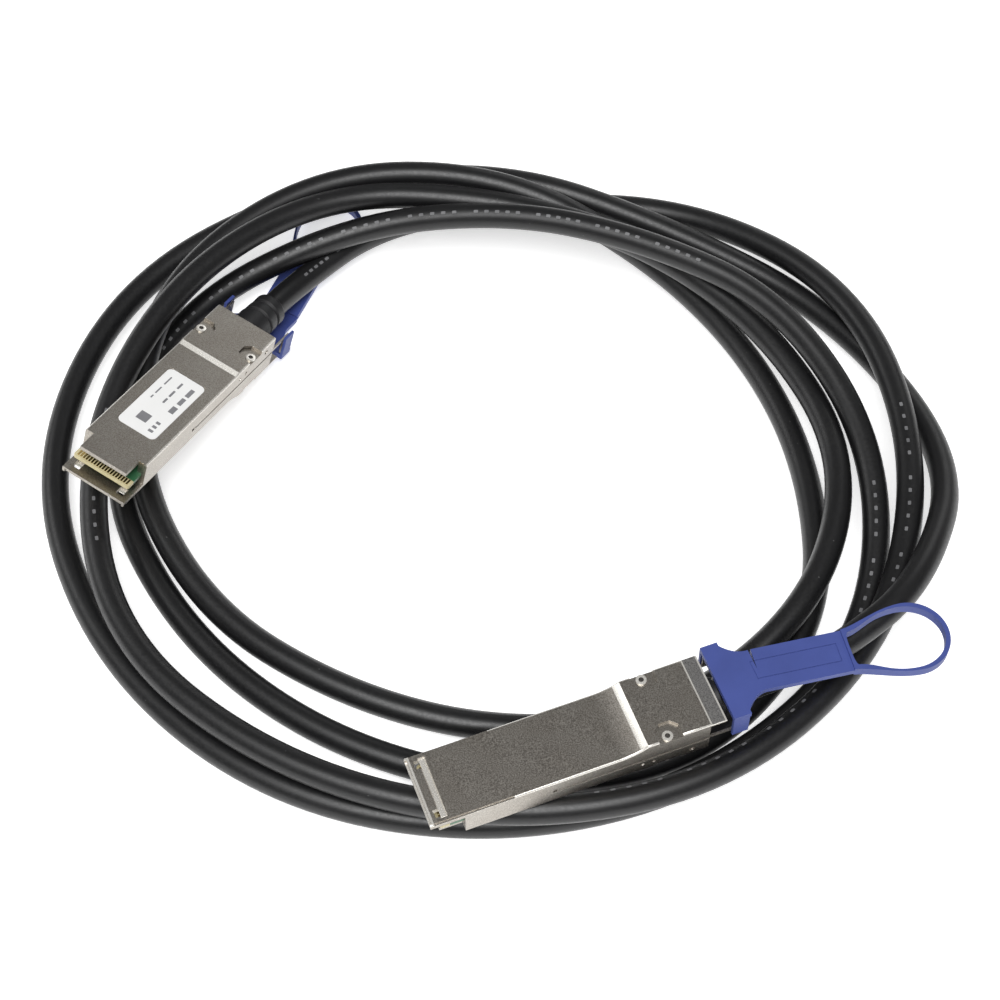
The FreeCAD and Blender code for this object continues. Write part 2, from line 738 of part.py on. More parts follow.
def bent_strap(strap, plug):
    """Splits the flat strap across and turns the rest about the split."""
    split = plug["bend_after"]
    yaw, pitch, roll = plug["bend"]
    pivot = FreeCAD.Vector(split, 0, 0 if pitch < 0 else SIZES["tab_thick"])
    size = SIZES["loop_end"]
    near = strap.common(Part.makeBox(split + size, size, size,
                                     FreeCAD.Vector(-size, -size / 2, -size / 2)))
    far = strap.common(Part.makeBox(size, size, size,
                                    FreeCAD.Vector(split, -size / 2, -size / 2)))
    turned = FreeCAD.Rotation(yaw, pitch, roll)
    far.Placement = FreeCAD.Placement(pivot.sub(turned.multVec(pivot)), turned)
    return near.fuse(far)


def loop_face(half, end, waist, start):
    """A loop: narrow at the strap, widest near its far end, closed by an arc."""
    far = end - half
    flank = [(start, waist), (start + 4, waist + 0.3), (far - 6, half), (far, half)]
    cap = Part.Arc(FreeCAD.Vector(far, half, 0), FreeCAD.Vector(end, 0, 0),
                   FreeCAD.Vector(far, -half, 0)).toShape()
    return flat_face([smooth(flank, 1), cap, smooth(flank, -1),
                      straight((start, -waist), (start, waist))])


def strap_solid(plug):
    """Flare, strap and finger loop, made flat from the head's end and then bent."""
    base = SIZES["tab_head_end"]
    thick, band = SIZES["tab_thick"], SIZES["loop_band"]
    root, slim = SIZES["tab_half"] - 0.6, SIZES["strap_half"]
    flare, neck = SIZES["strap_start"] - base, SIZES["strap_end"] - base
    reach = neck + 2 * band
    edge = [(0, root), (flare * 0.45, slim), (flare, slim)]
    flat = flat_face([smooth(edge, 1), straight((flare, slim), (reach, slim)),
                      straight((reach, slim), (reach, -slim)),
                      straight((reach, -slim), (flare, -slim)), smooth(edge, -1),
                      straight((0, -root), (0, root))])
    strap = flat.extrude(FreeCAD.Vector(0, 0, thick))
    end, half = SIZES["loop_end"] - base, SIZES["loop_half"]
    outer = loop_face(half, end, slim, neck).extrude(FreeCAD.Vector(0, 0, SIZES["loop_thick"]))
    hole = loop_face(half - band, end - band, SIZES["hole_small"] - band,
                     SIZES["hole_start"] - base)
    inner = hole.extrude(FreeCAD.Vector(0, 0, SIZES["loop_thick"] + 2))
    shift = (thick - SIZES["loop_thick"]) / 2
    outer.translate(FreeCAD.Vector(0, 0, shift))
    inner.translate(FreeCAD.Vector(0, 0, shift - 1))
    made = bent_strap(strap.fuse(outer).cut(inner).cut(tab_mark(base, thick)), plug)
    made.translate(FreeCAD.Vector(base, 0, -SIZES["tab_drop"]))
    return made


def tab_mark(base, thick):
    """The sunk line round the strap's blank field, on its outer face."""
    line, deep = SIZES["mark_line"], SIZES["mark_depth"]
    length, width = SIZES["mark_end"] - SIZES["mark_start"], 2 * SIZES["mark_half"]
    corner = FreeCAD.Vector(SIZES["mark_start"] - base, -width / 2, -1)
    whole = Part.makeBox(length, width, 1 + deep, corner)
    middle = Part.makeBox(length - 2 * line, width - 2 * line, 1 + deep,
                          corner.add(FreeCAD.Vector(line, line, 0)))
    return whole.cut(middle)


def pull_tab(tag, slider):
    """The soft tab: a head that grips the yoke, two ears, a strap and a finger loop."""
    plug = PLUGS[tag]
    low = -D["tab_drop"]
    head = box(f"tab_head_{tag}", (D["tab_start"], D["tab_head_end"] + 0.3),
               (-D["tab_half"], D["tab_half"]), (low, low + D["tab_thick"]))
    ears = []
    for side in (1, -1):
        inner, outer = (D["tab_half"] - D["tab_ear"]) * side, D["tab_half"] * side
        span = (inner, outer) if side > 0 else (outer, inner)
        ears.append(box(f"tab_ear_{tag}_{side}", (D["tab_start"], D["tab_head_end"]), span,
                        (low, D["tab_ear_top"])))
    strap = doc.addObject("Part::Feature", f"tab_strap_{tag}")
    strap.Shape = strap_solid(plug)
    whole = fuse(f"tab_whole_{tag}", [head, *ears, strap])
    return cut(f"pull_tab_{tag}", whole, slider)


def label(tag):
    """The blank sticker in the label shell's recess."""
    low = HEIGHT - D["recess_depth"]
    body = doc.addObject("PartDesign::Body", f"label_{tag}")
    flat = raised_sketch(body, f"label_flat_{tag}", low)
    rectangle(flat, (D["label_start"], D["label_end"]), (-D["label_half"], D["label_half"]))
    pad(body, flat, D["label_thick"], f"label_sheet_{tag}")
    doc.recompute()
    corners = edge_names(body.Shape, lambda e: abs(e.Length - SIZES["label_thick"]) < 1e-6)
    round_edges(body, corners, D["label_round"], f"label_corner_{tag}")
    return body


def plug_place(plug):
    """From a plug's own frame to where it lies."""
    turned = FreeCAD.Rotation(*plug["turn"])
    if plug["tab_up"]:
        face = FreeCAD.Placement(FreeCAD.Vector(), FreeCAD.Rotation(FreeCAD.Vector(1, 0, 0), 180))
    else:
        face = FreeCAD.Placement(FreeCAD.Vector(0, 0, -SIZES["plug_height"]), FreeCAD.Rotation())
    return FreeCAD.Placement(FreeCAD.Vector(*plug["nose"]), turned).multiply(face)


def station(radius, angle, height):
    turn = math.radians(angle)
    return FreeCAD.Vector(COIL_MIDDLE[0] + radius * math.cos(turn),
                          COIL_MIDDLE[1] + radius * math.sin(turn), height)


def on_axis(tag, place):
    """A point on a plug's cable axis."""
    return plug_place(PLUGS[tag]).multVec(FreeCAD.Vector(place, 0, SIZES["axis_height"]))


def cable_route():
    """The cable's corner points, from its end in plug a to its end in plug b."""
    bends = {tag: on_axis(tag, SIZES["collar_end"] + run) for tag, run in LEAD_RUNS.items()}
    route = [on_axis("a", SIZES["wire_end"]), bends["a"], station(*FIRST_STATION)]
    angle = COIL_START_ANGLE
    for turn in COIL_TURNS:
        for radius, height in turn:
            route.append(station(radius, angle, height))
            angle -= STATION_STEP
    route += [station(*place) for place in LAST_STATIONS]
    return route + [bends["b"], on_axis("b", SIZES["wire_end"])]


def cable_path(route):
    """Straight runs joined by tangent arcs, and the arcs' radii."""
    edges, radii, last = [], [], route[0]
    for before, corner, after in zip(route, route[1:], route[2:]):
        back, on = before.sub(corner), after.sub(corner)
        reach = ARC_SHARE * min(back.Length, on.Length)
        half_turn = (math.pi - back.getAngle(on)) / 2
        radii.append(reach / math.tan(half_turn))
        back.normalize()
        on.normalize()
        first, second = corner.add(back * reach), corner.add(on * reach)
        inward = back.add(on)
        inward.normalize()
        sag = radii[-1] * (1 / math.cos(half_turn) - 1)
        edges.append(Part.LineSegment(last, first).toShape())
        edges.append(Part.Arc(first, corner.add(inward * sag), second).toShape())
        last = second
    edges.append(Part.LineSegment(last, route[-1]).toShape())
    return Part.Wire(edges), radii


def cable():
    """The free cable as one tube."""
    route = cable_route()
    path, radii = cable_path(route)
    radius = SIZES["cable_diameter"] / 2
    start = route[1].sub(route[0])
    section = Part.Wire(Part.makeCircle(radius, route[0], start))
    tube = path.makePipeShell([section], True, True)
    made = doc.addObject("Part::Feature", "cable")
    made.Shape = tube
    expected = math.pi * radius ** 2 * path.Length
    print(f"cable length {path.Length:.1f} mm, volume share {tube.Volume / expected:.4f}")
    print("cable arc radii", " ".join(f"{r:.0f}" for r in radii))
    return made


def plug_nodes(tag):
    """One plug's pieces by node name, still in the plug's own frame."""
    slider = latch_slider(tag)
    nodes = {
        f"tab_shell_{tag}": tab_shell(tag),
        f"label_shell_{tag}": label_shell(tag),
        f"paddle_card_{tag}": paddle_card(tag),
        f"edge_contacts_{tag}": edge_contacts(tag),
        f"memory_chip_{tag}": memory_chip(tag),
        f"wire_block_{tag}": wire_block(tag),
        f"core_wires_{tag}": core_wires(tag),
        f"ferrule_{tag}": ferrule(tag),
        f"cable_collar_{tag}": cable_collar(tag),
        f"shell_rivets_{tag}": shell_rivets(tag),
        f"latch_slider_{tag}": slider,
        f"pull_tab_{tag}": pull_tab(tag, slider),
    }
    if not PLUGS[tag]["tab_up"]:
        nodes[f"label_{tag}"] = label(tag)
    return nodes


def placed_shape(node, place, lift):
    """The piece's shape, moved from the plug's frame to where it lies."""
    shape = node.Shape.copy()
    shape.Placement = place.multiply(lift).multiply(shape.Placement)
    return shape


def main():
    nodes = {}
    for tag in PLUGS:
        nodes.update({name: (node, tag) for name, node in plug_nodes(tag).items()})
    nodes["cable"] = (cable(), None)
    doc.recompute()
    for thing in doc.Objects:
        if {"Invalid", "Error"} & set(thing.State):
            raise RuntimeError(f"{thing.Name} failed: {thing.State}")
    os.makedirs("parts", exist_ok=True)
    for name, (node, tag) in nodes.items():
        node.Label = name
        shape = node.Shape
        if tag is not None:
            lift = FreeCAD.Placement()
            if name.startswith("cable_collar"):
                lift.Base = FreeCAD.Vector(0, 0, SIZES["axis_height"])
            shape = placed_shape(node, plug_place(PLUGS[tag]), lift)
        if shape.isNull() or not shape.isValid():
            raise RuntimeError(f"{name} has no valid shape")
        shape.exportStep(f"parts/{name}.step")
        print(name, len(shape.Solids), round(shape.Volume, 1))
    whole = Part.makeCompound([Part.read(f"parts/{name}.step") for name in nodes])
    print("box", whole.BoundBox)


main()
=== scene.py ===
"""Looks for a coiled direct attach copper cable with a flat metal plug at each end."""

import logging
import math
from dataclasses import dataclass, field
from enum import Enum
from typing import Callable

import bpy
from mathutils import Matrix, Vector


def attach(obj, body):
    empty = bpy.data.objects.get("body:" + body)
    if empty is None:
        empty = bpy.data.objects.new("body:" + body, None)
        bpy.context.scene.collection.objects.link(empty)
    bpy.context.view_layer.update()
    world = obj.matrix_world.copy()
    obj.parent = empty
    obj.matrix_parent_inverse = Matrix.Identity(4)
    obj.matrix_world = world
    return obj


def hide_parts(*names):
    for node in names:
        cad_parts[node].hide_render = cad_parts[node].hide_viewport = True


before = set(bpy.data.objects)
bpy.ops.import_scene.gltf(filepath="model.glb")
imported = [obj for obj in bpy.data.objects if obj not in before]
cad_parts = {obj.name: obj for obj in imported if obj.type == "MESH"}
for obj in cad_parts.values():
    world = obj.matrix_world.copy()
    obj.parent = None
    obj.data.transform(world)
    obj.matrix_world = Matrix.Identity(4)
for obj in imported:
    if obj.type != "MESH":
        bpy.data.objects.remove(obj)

log = logging.getLogger("direct_attach_cable")
MM = 0.001
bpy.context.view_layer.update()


class End(Enum):
    """The cable's two ends."""

    A = "a"
    B = "b"


class Side(Enum):
    """The face of a plug that lies upwards."""

    LABEL = "label"
    TAB = "tab"


# ---------------------------------------------------------------- finishes


class NodeMaterial:
    """A material under construction, with short helpers for its nodes."""

    def __init__(self, name: str) -> None:
        """Starts an empty node material.

        Args:
            name: the material's name.
        """
        self.material = bpy.data.materials.new(name)
        self.material.use_nodes = True
        self.nodes = self.material.node_tree.nodes
        self.links = self.material.node_tree.links
        self.shader = self.nodes["Principled BSDF"]

    def add(self, kind: str, **values: object) -> bpy.types.Node:
        """Adds a node and sets its plain properties.

        Args:
            kind: the node's type name.
            values: properties of the node.

        Returns:
            The new node.
        """
        node = self.nodes.new(kind)
        for key, value in values.items():
            setattr(node, key, value)
        return node

    def link(self, source: bpy.types.NodeSocket, target: bpy.types.NodeSocket) -> None:
        """Joins two sockets."""
        self.links.new(source, target)

    def coordinates(self, scale: float, output: str = "Object") -> bpy.types.NodeSocket:
        """Gives scaled texture coordinates.

        Args:
            scale: pattern units per metre.
            output: which coordinates to read.

        Returns:
            The vector socket.
        """
        place = self.add("ShaderNodeTexCoord")
        mapping = self.add("ShaderNodeMapping")
        mapping.inputs["Scale"].default_value = (scale, scale, scale)
        self.link(place.outputs[output], mapping.inputs["Vector"])
        return mapping.outputs["Vector"]

    def noise(self, vector: bpy.types.NodeSocket, scale: float, detail: float = 4.0,
              roughness: float = 0.55) -> bpy.types.NodeSocket:
        """Gives a noise value.

        Args:
            vector: the coordinates it reads.
            scale: the noise's scale.
            detail: its octaves.
            roughness: how strong the fine octaves are.

        Returns:
            The value socket.
        """
        node = self.add("ShaderNodeTexNoise")
        node.inputs["Scale"].default_value = scale
        node.inputs["Detail"].default_value = detail
        node.inputs["Roughness"].default_value = roughness
        self.link(vector, node.inputs["Vector"])
        return node.outputs["Fac"]

    def ramp(self, value: bpy.types.NodeSocket,
             stops: list[tuple[float, tuple[float, float, float]]]) -> bpy.types.NodeSocket:
        """Turns a value into a colour.

        Args:
            value: the value socket.
            stops: places and linear colours.

        Returns:
            The colour socket.
        """
        node = self.add("ShaderNodeValToRGB")
        elements = node.color_ramp.elements
        while len(elements) < len(stops):
            elements.new(0.5)
        for element, (place, colour) in zip(elements, stops):
            element.position = place
            element.color = (*colour, 1.0)
        self.link(value, node.inputs["Fac"])
        return node.outputs["Color"]

    def span(self, value: bpy.types.NodeSocket, low: float, high: float,
             source: tuple[float, float] = (0.3, 0.7)) -> bpy.types.NodeSocket:
        """Maps a value onto a range.

        Args:
            value: the value socket.
            low: the result at the source's start.
            high: the result at the source's end.
            source: the values that are mapped.

        Returns:
            The mapped value.
        """
        node = self.add("ShaderNodeMapRange")
        node.inputs["From Min"].default_value = source[0]
        node.inputs["From Max"].default_value = source[1]
        node.inputs["To Min"].default_value = low
        node.inputs["To Max"].default_value = high
        self.link(value, node.inputs["Value"])
        return node.outputs["Result"]

    def bump(self, height: bpy.types.NodeSocket, strength: float, distance: float) -> None:
        """Adds relief to the shader, on top of any relief already there.

        Args:
            height: the height value.
            strength: how strong the relief is.
            distance: its depth in metres.
        """
        node = self.add("ShaderNodeBump")
        node.inputs["Strength"].default_value = strength
        node.inputs["Distance"].default_value = distance
        self.link(height, node.inputs["Height"])
        normal = self.shader.inputs["Normal"]
        if normal.is_linked:
            self.link(normal.links[0].from_socket, node.inputs["Normal"])
        self.link(node.outputs["Normal"], normal)


@dataclass(frozen=True)
class MetalFinish:
    """A plated or stamped metal surface, with the fine grain of its blasted skin."""

    name: str
    colour: tuple[float, float, float]
    shade: tuple[float, float, float]
    roughness: tuple[float, float]
    grain: float = 3600.0
    relief: float = 0.4
    metallic: float = 1.0

    def make(self) -> bpy.types.Material:
        """Builds the material.

        Returns:
            The material.
        """
        made = NodeMaterial(self.name)
        vector = made.coordinates(1.0)
        fine = made.noise(vector, self.grain, 3.0, 0.6)
        cloud = made.noise(vector, 130.0, 2.0)
        colour = made.ramp(fine, [(0.36, self.shade), (0.66, self.colour)])
        tint = made.ramp(cloud, [(0.35, (0.93, 0.92, 0.91)), (0.65, (1.0, 1.0, 1.0))])
        mix = made.add("ShaderNodeMix", data_type="RGBA", blend_type="MULTIPLY")
        mix.inputs["Factor"].default_value = 1.0
        made.link(colour, mix.inputs["A"])
        made.link(tint, mix.inputs["B"])
        made.link(mix.outputs["Result"], made.shader.inputs["Base Color"])
        made.link(made.span(fine, *self.roughness), made.shader.inputs["Roughness"])
        made.shader.inputs["Metallic"].default_value = self.metallic
        made.bump(fine, self.relief, 0.00006)
        return made.material


@dataclass(frozen=True)
class MouldedFinish:
    """A moulded plastic, rubber or resin surface."""

    name: str
    colour: tuple[float, float, float]
    shade: tuple[float, float, float]
    roughness: tuple[float, float]
    grain: float = 2500.0
    relief: float = 0.15
    specular: float = 0.5
    sheen: float = 0.0

    def make(self) -> bpy.types.Material:
        """Builds the material.

        Returns:
            The material.
        """
        made = NodeMaterial(self.name)
        vector = made.coordinates(1.0)
        cloud = made.noise(vector, 120.0, 4.0)
        fine = made.noise(vector, self.grain, 3.0)
        colour = made.ramp(cloud, [(0.3, self.shade), (0.7, self.colour)])
        made.link(colour, made.shader.inputs["Base Color"])
        made.link(made.span(fine, *self.roughness), made.shader.inputs["Roughness"])
        made.shader.inputs["Specular IOR Level"].default_value = self.specular
        made.shader.inputs["Sheen Weight"].default_value = self.sheen
        made.bump(fine, self.relief, 0.00006)
        return made.material


@dataclass(frozen=True)
class JacketFinish:
    """The cable's satin jacket, with a fine relief and a few specks."""

    name: str = "jacket_satin"
    colour: tuple[float, float, float] = (0.0070, 0.0070, 0.0075)
    shade: tuple[float, float, float] = (0.0045, 0.0045, 0.005)
    speck: tuple[float, float, float] = (0.10, 0.10, 0.10)

    def make(self) -> bpy.types.Material:
        """Builds the material.

        Returns:
            The material.
        """
        made = NodeMaterial(self.name)
        vector = made.coordinates(1.0)
        cloud = made.noise(vector, 60.0, 3.0)
        fine = made.noise(vector, 1400.0, 3.0)
        dust = made.noise(vector, 900.0, 1.0)
        base = made.ramp(cloud, [(0.3, self.shade), (0.7, self.colour)])
        mix = made.add("ShaderNodeMix", data_type="RGBA")
        mix.inputs["B"].default_value = (*self.speck, 1.0)
        made.link(made.span(dust, 0.0, 0.7, (0.79, 0.83)), mix.inputs["Factor"])
        made.link(base, mix.inputs["A"])
        made.link(mix.outputs["Result"], made.shader.inputs["Base Color"])
        made.link(made.span(fine, 0.34, 0.46), made.shader.inputs["Roughness"])
        made.shader.inputs["Specular IOR Level"].default_value = 0.5
        made.bump(fine, 0.10, 0.00005)
        return made.material


class Palette:
    """Every finish on the cable, made once."""

    def __init__(self) -> None:
        """Builds all the materials."""
        self.shell = MetalFinish("nickel_casting", (0.49, 0.46, 0.415), (0.26, 0.24, 0.213),
                                 (0.30, 0.44)).make()
        # Brighter metal: the screws' polish, and painted highlight on the shells' broken edges,
        # slope, side roundings and end lines.
        self.polish_and_highlight = MetalFinish("polish_and_painted_highlight", (0.86, 0.84, 0.79), (0.78, 0.755, 0.70),
                                    (0.20, 0.30), relief=0.05, metallic=0.6).make()
        self.trough = MetalFinish("pressed_trough", (0.74, 0.71, 0.65), (0.60, 0.57, 0.52),
                                  (0.30, 0.42), relief=0.15, metallic=0.4).make()
        self.band = MetalFinish("brushed_band", (0.66, 0.65, 0.64), (0.50, 0.49, 0.48),
                                (0.24, 0.36), relief=0.12).make()
        self.steel = MetalFinish("stamped_steel", (0.72, 0.71, 0.69), (0.60, 0.59, 0.57),
                                 (0.20, 0.32), relief=0.05).make()
        # Dark metal for the shallow screw sockets: painted shade standing in for a deeper hole.
        self.socket = MetalFinish("screw_socket_painted_shade", (0.16, 0.15, 0.14), (0.10, 0.095, 0.09),
                                  (0.40, 0.55), relief=0.05).make()
        self.gold = MetalFinish("gold_plate", (0.76, 0.56, 0.22), (0.66, 0.47, 0.17),
                                (0.20, 0.30), relief=0.03).make()
        self.board = MouldedFinish("solder_mask", (0.035, 0.135, 0.06), (0.025, 0.10, 0.045),
                                   (0.28, 0.38)).make()
        self.laminate = MouldedFinish("bare_laminate", (0.56, 0.50, 0.30), (0.46, 0.40, 0.22),
                                      (0.40, 0.55)).make()
        self.chip = MouldedFinish("chip_epoxy", (0.02, 0.02, 0.022), (0.015, 0.015, 0.017),
                                  (0.5, 0.6)).make()
        self.melt = MouldedFinish("cream_melt", (0.62, 0.56, 0.42), (0.55, 0.49, 0.37),
                                  (0.45, 0.6)).make()
        self.foil = MetalFinish("pair_foil", (0.66, 0.66, 0.68), (0.52, 0.52, 0.55),
                                (0.25, 0.45), relief=0.2).make()
        self.black = MouldedFinish("black_moulding", (0.012, 0.012, 0.013),
                                   (0.008, 0.008, 0.009), (0.42, 0.55)).make()
        self.blue = MouldedFinish("blue_moulding", (0.050, 0.074, 0.270),
                                  (0.043, 0.064, 0.235), (0.44, 0.56), specular=0.4).make()
        self.paper = MouldedFinish("blank_sticker", (0.82, 0.82, 0.81), (0.79, 0.79, 0.78),
                                   (0.42, 0.52), relief=0.03).make()
        self.faded = MouldedFinish("faded_marking", (0.16, 0.16, 0.165), (0.10, 0.10, 0.105),
                                   (0.45, 0.55), relief=0.02).make()
        self.ink = MouldedFinish("grey_ink", (0.22, 0.22, 0.23), (0.17, 0.17, 0.18),
                                 (0.45, 0.55), relief=0.02).make()
        self.jacket = JacketFinish().make()

    def for_node(self, node: str) -> bpy.types.Material:
        """Chooses the finish of a CAD node.

        Args:
            node: the node's name.

        Returns:
            Its material.
        """
        finishes = {
            "tab_shell": self.shell, "label_shell": self.shell, "paddle_card": self.board,
            "edge_contacts": self.gold, "memory_chip": self.chip, "wire_block": self.melt,
            "core_wires": self.foil, "ferrule": self.steel, "shell_rivets": self.steel,
            "latch_slider": self.shell, "cable_collar": self.black, "pull_tab": self.blue,
            "label": self.paper, "cable": self.jacket,
        }
        return finishes[node if node in finishes else node[:-2]]


def dress(piece: bpy.types.Object, material: bpy.types.Material) -> None:
    """Gives a piece one material.

    Args:
        piece: the object to dress.
        material: its material.
    """
    if not piece.material_slots:
        piece.data.materials.append(material)
    for place in piece.material_slots:
        place.material = material


# ---------------------------------------------------------------- the plugs' places


@dataclass
class PlugPlace:
    """Where a plug lies, and the way from its own frame to the cable's."""

    end: End
    nose: tuple[float, float, float]
    turn: tuple[float, float, float]
    upper: Side
    bend_place: float
    bend: tuple[float, float, float]
    strap_level: float = -2.9
    height: float = 8.5
    axis_height: float = 3.9
    collar_end: float = 82.0

    def matrix(self) -> Matrix:
        """The plug's own frame, in millimetres, seen from the cable's frame.

        Returns:
            A matrix from millimetres on the plug to metres.
        """
        yaw, pitch, roll = (math.radians(angle) for angle in self.turn)
        turned = (Matrix.Rotation(yaw, 4, "Z") @ Matrix.Rotation(pitch, 4, "Y")
                  @ Matrix.Rotation(roll, 4, "X"))
        if self.upper is Side.TAB:
            face = Matrix.Rotation(math.pi, 4, "X")
        else:
            face = Matrix.Translation((0.0, 0.0, -self.height))
        return Matrix.Scale(MM, 4) @ Matrix.Translation(self.nose) @ turned @ face

    def point(self, along: float, across: float, up: float) -> Vector:
        """A point of the plug, in metres."""
        return self.matrix() @ Vector((along, across, up))

    def on_axis(self, along: float) -> Vector:
        """A point on the plug's cable axis, in metres."""
        return self.point(along, 0.0, self.axis_height)

    def strap_matrix(self) -> Matrix:
        """The flat strap's frame, in millimetres, seen from the cable's frame.

        Returns:
            A matrix from the unbent strap to its place.
        """
        yaw, pitch, roll = (math.radians(angle) for angle in self.bend)
        turned = (Matrix.Rotation(yaw, 4, "Z") @ Matrix.Rotation(pitch, 4, "Y")
                  @ Matrix.Rotation(roll, 4, "X"))
        pivot = Matrix.Translation((self.bend_place, 0.0, self.strap_level))
        return self.matrix() @ pivot @ turned @ pivot.inverted()


# ---------------------------------------------------------------- modelling helpers


def start_edit(piece: bpy.types.Object, mode: str = "FACE") -> None:
    """Selects one piece alone and opens it for editing.

    Args:
        piece: the object to edit.
        mode: VERT, EDGE or FACE.
    """
    bpy.ops.object.select_all(action="DESELECT")
    piece.select_set(True)
    bpy.context.view_layer.objects.active = piece
    bpy.ops.object.mode_set(mode="EDIT")
    bpy.ops.mesh.select_mode(type=mode)
    bpy.ops.mesh.select_all(action="DESELECT")


def end_edit() -> None:
    """Goes back to object mode."""
    bpy.ops.object.mode_set(mode="OBJECT")


def merged_copy(node: str, name: str) -> bpy.types.Object:
    """Copies a CAD node's mesh, joins its loose triangles and clears its flat faces.

    Args:
        node: the CAD node.
        name: the new piece's name.

    Returns:
        The new piece, at the origin as the node is.
    """
    made = bpy.data.objects.new(name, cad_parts[node].data.copy())
    bpy.context.scene.collection.objects.link(made)
    start_edit(made)
    bpy.ops.mesh.select_all(action="SELECT")
    bpy.ops.mesh.remove_doubles(threshold=0.000002)
    bpy.ops.mesh.customdata_custom_splitnormals_clear()
    bpy.ops.mesh.select_all(action="SELECT")
    bpy.ops.mesh.dissolve_limited(angle_limit=math.radians(0.6))
    end_edit()
    made.data.materials.clear()
    return made


def soften(piece: bpy.types.Object, width: float, segments: int, angle: float,
           edge_slot: int) -> None:
    """Breaks a piece's sharp edges and applies the result.

    Args:
        piece: the piece.
        width: the broken edge's width, in millimetres.
        segments: how many steps it has.
        angle: the smallest angle between faces that counts as an edge, in degrees.
        edge_slot: the material slot that the broken edge takes.
    """
    bevel = piece.modifiers.new("soften", "BEVEL")
    bevel.width = width * MM
    bevel.segments = segments
    bevel.limit_method = "ANGLE"
    bevel.angle_limit = math.radians(angle)
    bevel.material = edge_slot
    bevel.miter_outer = "MITER_ARC"
    bpy.ops.object.select_all(action="DESELECT")
    piece.select_set(True)
    bpy.context.view_layer.objects.active = piece
    bpy.ops.object.modifier_apply(modifier=bevel.name)
    bpy.ops.object.shade_smooth_by_angle(angle=math.radians(50.0))
    weighted = piece.modifiers.new("flat_faces", "WEIGHTED_NORMAL")
    weighted.keep_sharp = True
    weighted.weight = 100
    bpy.ops.object.modifier_apply(modifier=weighted.name)


def join_pieces(pieces: list[bpy.types.Object], name: str) -> bpy.types.Object:
    """Joins pieces into the first of them.

    Args:
        pieces: the pieces, each with its own mesh.
        name: the joined piece's name.

    Returns:
        The joined piece.
    """
    bpy.ops.object.select_all(action="DESELECT")
    for piece in pieces:
        piece.select_set(True)
    bpy.context.view_layer.objects.active = pieces[0]
    bpy.ops.object.join()
    made = bpy.context.object
    made.name = name
    return made


def raised_patch(size: tuple[float, float, float], corner: float,
                 segments: int) -> bpy.types.Object:
    """Makes a thin raised patch with rounded corners, in millimetres about the origin.

    Args:
        size: its length, width and thickness.
        corner: how far its corners are cut back.
        segments: how many steps a corner has.

    Returns:
        The patch.
    """
    long, wide, thick = size
    bpy.ops.object.select_all(action="DESELECT")
    bpy.ops.mesh.primitive_plane_add(size=1.0)
    patch = bpy.context.object
    start_edit(patch)
    bpy.ops.mesh.select_all(action="SELECT")
    bpy.ops.transform.resize(value=(long, wide, 1.0))
    bpy.ops.mesh.bevel(offset=corner, segments=segments, affect="VERTICES")
    bpy.ops.mesh.select_all(action="SELECT")
    bpy.ops.mesh.extrude_region_move(TRANSFORM_OT_translate={"value": (0.0, 0.0, thick)})
    bpy.ops.mesh.select_all(action="SELECT")
    bpy.ops.mesh.normals_make_consistent(inside=False)
    end_edit()
    return patch


def stand_for(piece: bpy.types.Object, node: str, body: str) -> None:
    """Lets a piece stand for a CAD node on its body.

    Args:
        piece: the piece.
        node: the CAD node it hides.
        body: the body it moves with.
    """
    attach(piece, body)
    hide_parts(node)


def faces_on(piece: bpy.types.Object, lies: Callable[[Vector, Vector], bool], slot: int) -> int:
    """Gives a material slot to the faces that a test picks.

    Args:
        piece: the piece.
        lies: a test of a face's middle and normal.
        slot: the slot for those faces.

    Returns:
        How many faces took it.
    """
    picked = [face for face in piece.data.polygons if lies(face.center, face.normal)]
    for face in picked:
        face.material_index = slot
    return len(picked)


# ---------------------------------------------------------------- the plugs' looks


